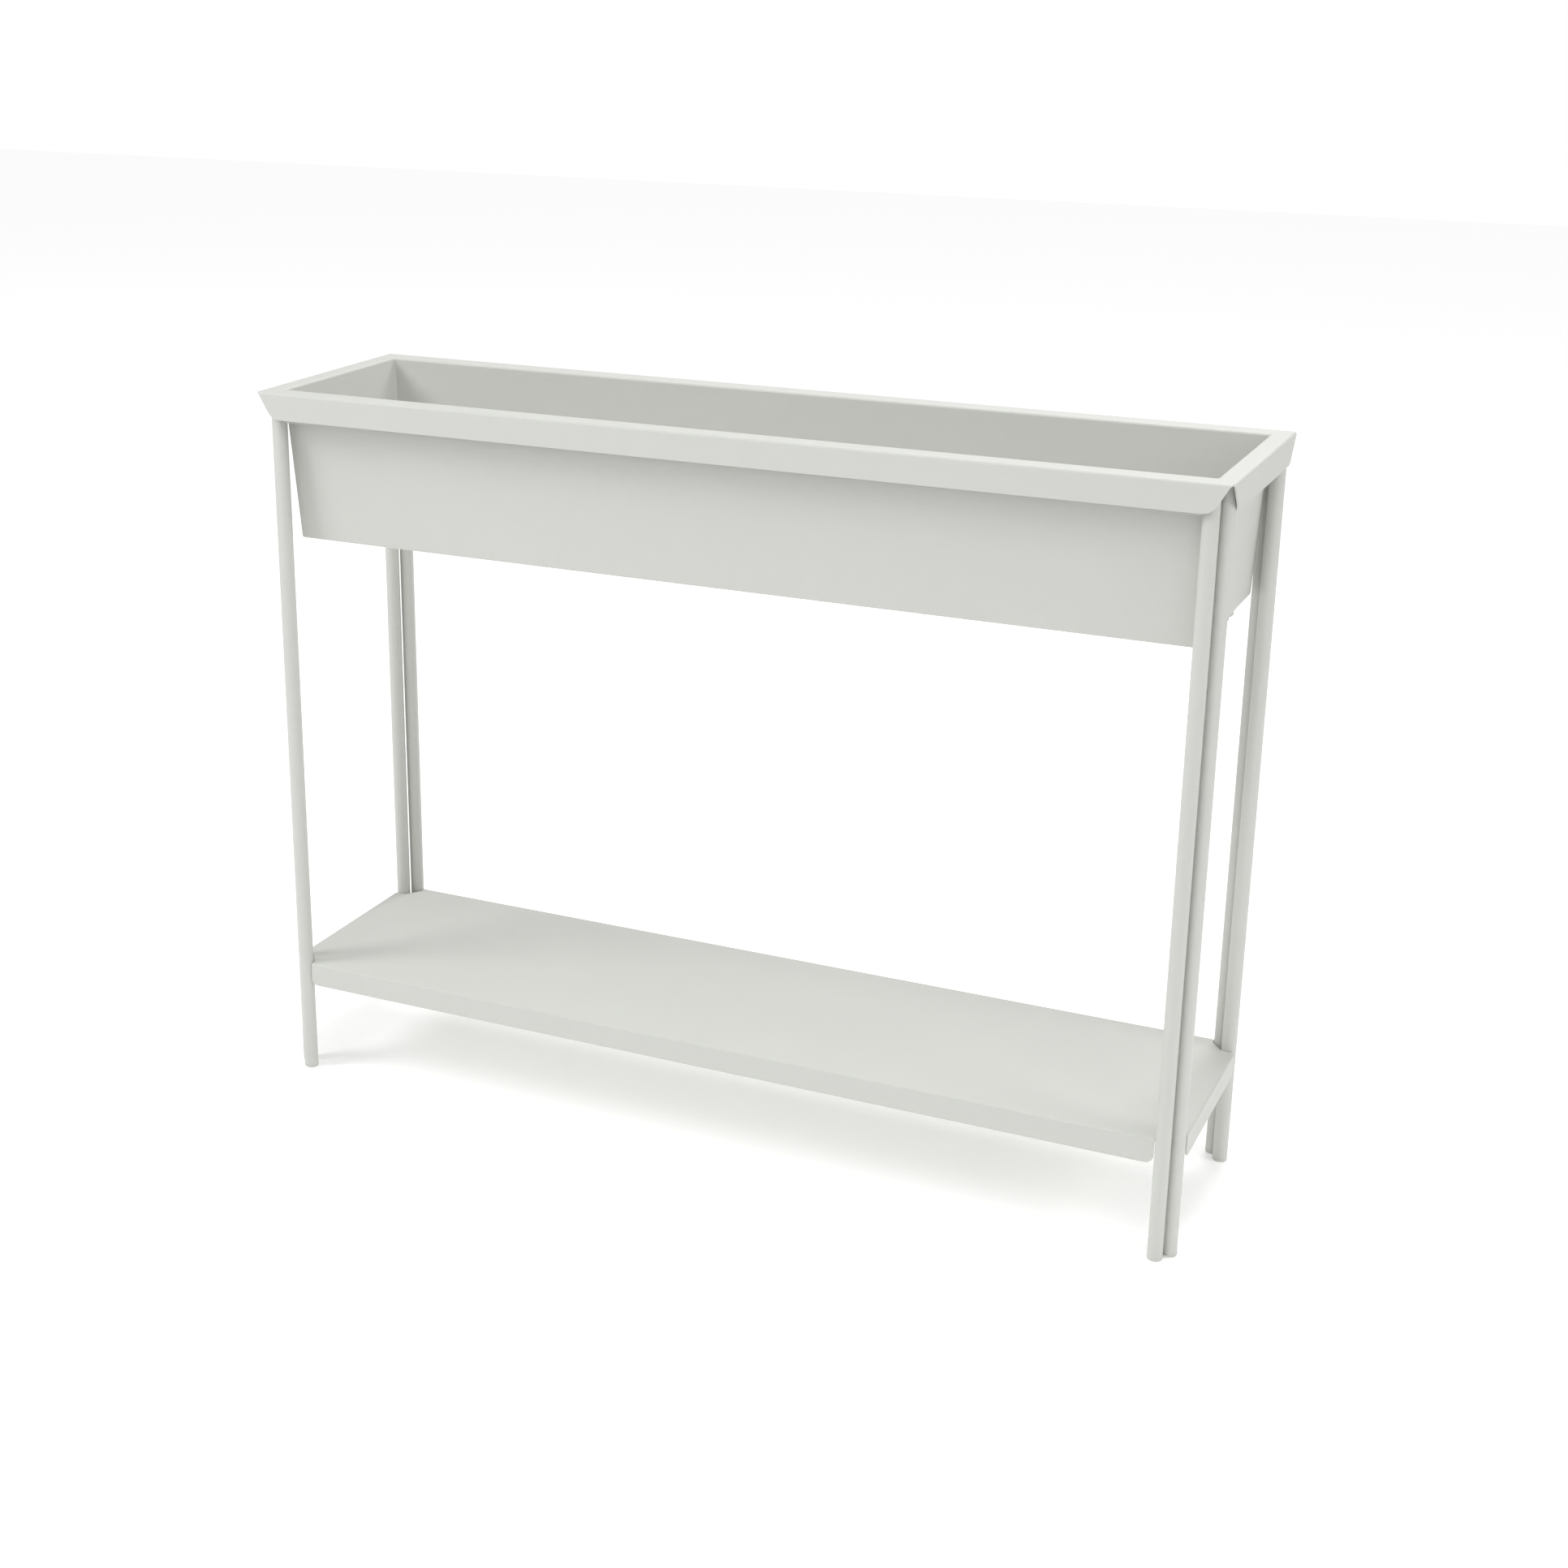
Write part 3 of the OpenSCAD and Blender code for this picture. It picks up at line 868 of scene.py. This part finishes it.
def washer():
    outer = (washer_high.x - washer_low.x) / 2
    corners = [
        (RING_BORE, washer_low.z), (outer, washer_low.z),
        (outer, washer_high.z), (RING_BORE, washer_high.z)]
    return turned_ring(corners, [0, DRAIN_ROUND, DRAIN_ROUND, 0])


def ring_nut():
    """The nut's rim is scalloped for the fingers."""
    outer = (nut_high.x - nut_low.x) / 2

    def scallop(angle, out, up):
        if out < (RING_BORE + outer) / 2:
            return 0
        return NUT_SCALLOP * max(0, math.cos(angle * NUT_LOBES)) ** 2

    corners = [
        (RING_BORE, nut_low.z), (outer, nut_low.z), (outer, nut_high.z), (RING_BORE, nut_high.z)]
    return turned_ring(corners, [0, GRIP_ROUND, DRAIN_ROUND, 0], scallop)


def stopper():
    """A head with fine grip ribs and a stem that tapers a little into the bore."""
    head = (stopper_high.x - stopper_low.x) / 2
    head_top = bush_low.z
    stem = BORE - STOPPER_ROOM
    hold_top = stopper_low.z + FINGER_HOLD_DEPTH

    def rib(angle, out, up):
        if out < head - GRIP_DEPTH or up < stopper_low.z + GRIP_DEPTH:
            return 0
        return GRIP_DEPTH * (0.5 + 0.5 * math.cos(angle * GRIP_RIBS))

    corners = [
        (AXIS_ROOM, hold_top), (FINGER_HOLD, hold_top),
        (FINGER_HOLD + FINGER_HOLD_DEPTH, stopper_low.z), (head, stopper_low.z), (head, head_top),
        (stem, head_top), (stem - STEM_TAPER, stopper_high.z), (AXIS_ROOM, stopper_high.z)]
    rounds = [0, 0, 0, GRIP_ROUND, DRAIN_ROUND, 0, GRIP_ROUND, 0]
    return turned_ring(corners, rounds, rib)


finished("drain_flange_bush", bush(), drain_plastic, "trough", "drain_plastic", "drain_bush", edge=0)
finished("drain_seal", washer(), drain_rubber, "trough", "drain_rubber", "drain_washer", edge=0)
finished("drain_ring_nut", ring_nut(), drain_plastic, "trough", "drain_plastic", "drain_nut", edge=0)
finished("drain_plug", stopper(), drain_plastic, "stopper", "drain_plastic", "drain_stopper", edge=0)


# Setting: a pale floor, white air all round, six soft lamps above and beside the
# planter, and a camera that looks down on it from its front right.
FLOOR_SIZE = 9.0
FLOOR_WHITE = (0.93, 0.93, 0.925)
FLOOR_SHADES = (0.99, 1.01)
FLOOR_GLOW = 0.30
FAR_GLOW = 0.62
NEAR_FLOOR = 1.2
FAR_FLOOR = 3.5
AIR_SEEN = 1.0
AIR_GIVEN = 0.36
LAMP_AIM = 0.45
CAMERA_PLACE = (0.9253, -2.1595, 1.2094)
CAMERA_YAW = 25.44
CAMERA_TILT = 18.736
CAMERA_ROLL = 0.115
CAMERA_SENSOR = 36
CAMERA_LENS = 55.38
CAMERA_SHIFT = (0.078, -0.0248)
CAMERA_NEAR = 0.05


def studio_floor():
    mesh = bmesh.new()
    bmesh.ops.create_grid(mesh, x_segments=1, y_segments=1, size=FLOOR_SIZE)
    floor = plain_piece("studio_floor", mesh)
    material, tree = new_finish("floor_paint")
    where = tree.node("ShaderNodeTexCoord", output="Object")
    cloud = tree.node("ShaderNodeTexNoise", {}, {"Vector": where, "Scale": 3.0, "Detail": 3.0})
    colour = tree.shades(cloud, FLOOR_WHITE, *FLOOR_SHADES)
    # The floor glows a little, and looks brighter where the lamps' light runs out,
    # but only to the camera: the planter is lit by the even glow.
    away = tree.node("ShaderNodeVectorMath", {"operation": "LENGTH"}, {"Vector": where}, "Value")
    glow = tree.node("ShaderNodeMapRange", {}, {
        "Value": away, "From Min": NEAR_FLOOR, "From Max": FAR_FLOOR,
        "To Min": FLOOR_GLOW, "To Max": FAR_GLOW}, "Result")
    straight = tree.node("ShaderNodeLightPath", output="Is Camera Ray")
    glow = FLOOR_GLOW + straight * (glow - FLOOR_GLOW)
    surface = tree.node("ShaderNodeBsdfPrincipled", {}, {
        "Base Color": colour, "Roughness": 0.9, "Specular IOR Level": 0.1,
        "Emission Color": tree.node("ShaderNodeCombineColor", {}, {
            "Red": glow, "Green": glow, "Blue": glow}),
        "Emission Strength": 1.0})
    tree.node("ShaderNodeOutputMaterial", {}, {"Surface": surface})
    floor.data.materials.append(material)


def studio_air():
    """White all round, brighter to the camera than as light."""
    world = bpy.data.worlds.new("studio")
    bpy.context.scene.world = world
    world.use_nodes = True
    world.node_tree.nodes.clear()
    tree = NodeTree(world.node_tree)
    straight = tree.node("ShaderNodeLightPath", output="Is Camera Ray")
    air = tree.node("ShaderNodeBackground", {}, {
        "Color": (1, 1, 1, 1), "Strength": AIR_GIVEN + straight * (AIR_SEEN - AIR_GIVEN)})
    tree.node("ShaderNodeOutputWorld", {}, {"Surface": air})


def soft_light(name, place, size, power, aim=LAMP_AIM):
    """A round lamp that looks at the planter's middle, at the height aim."""
    lamp = bpy.data.lights.new(name, "AREA")
    lamp.shape = "DISK"
    lamp.size = size
    lamp.energy = power
    holder = bpy.data.objects.new(name, lamp)
    bpy.context.scene.collection.objects.link(holder)
    holder.location = place
    holder.rotation_euler = (Vector((0, 0, aim)) - Vector(place)).to_track_quat("-Z", "Y").to_euler()


def front_right_camera():
    camera_data = bpy.data.cameras.new("camera")
    camera_data.sensor_width = CAMERA_SENSOR
    camera_data.lens = CAMERA_LENS
    camera_data.shift_x, camera_data.shift_y = CAMERA_SHIFT
    camera_data.clip_start = CAMERA_NEAR
    camera = bpy.data.objects.new("camera", camera_data)
    bpy.context.scene.collection.objects.link(camera)
    camera.matrix_world = (
        Matrix.Translation(CAMERA_PLACE)
        @ Matrix.Rotation(math.radians(CAMERA_YAW), 4, "Z")
        @ Matrix.Rotation(math.pi / 2 - math.radians(CAMERA_TILT), 4, "X")
        @ Matrix.Rotation(math.radians(CAMERA_ROLL), 4, "Z"))
    bpy.context.scene.camera = camera


studio_floor()
studio_air()
soft_light("overhead", (0.3, -0.6, 2.9), size=1.8, power=18, aim=0.4)
soft_light("right_side", (2.8, -0.3, 1.7), size=1.2, power=19)
soft_light("right_quarter", (2.0, -1.7, 2.2), size=1.2, power=4)
soft_light("left_quarter", (-2.8, -2.1, 3.2), size=1.7, power=70)
soft_light("left_front", (-0.9, -2.5, 1.9), size=1.2, power=7)
soft_light("rear", (0.3, 1.6, 2.6), size=1.2, power=30)
front_right_camera()
bpy.context.scene.view_settings.view_transform = "Standard"

bpy.context.view_layer.update()
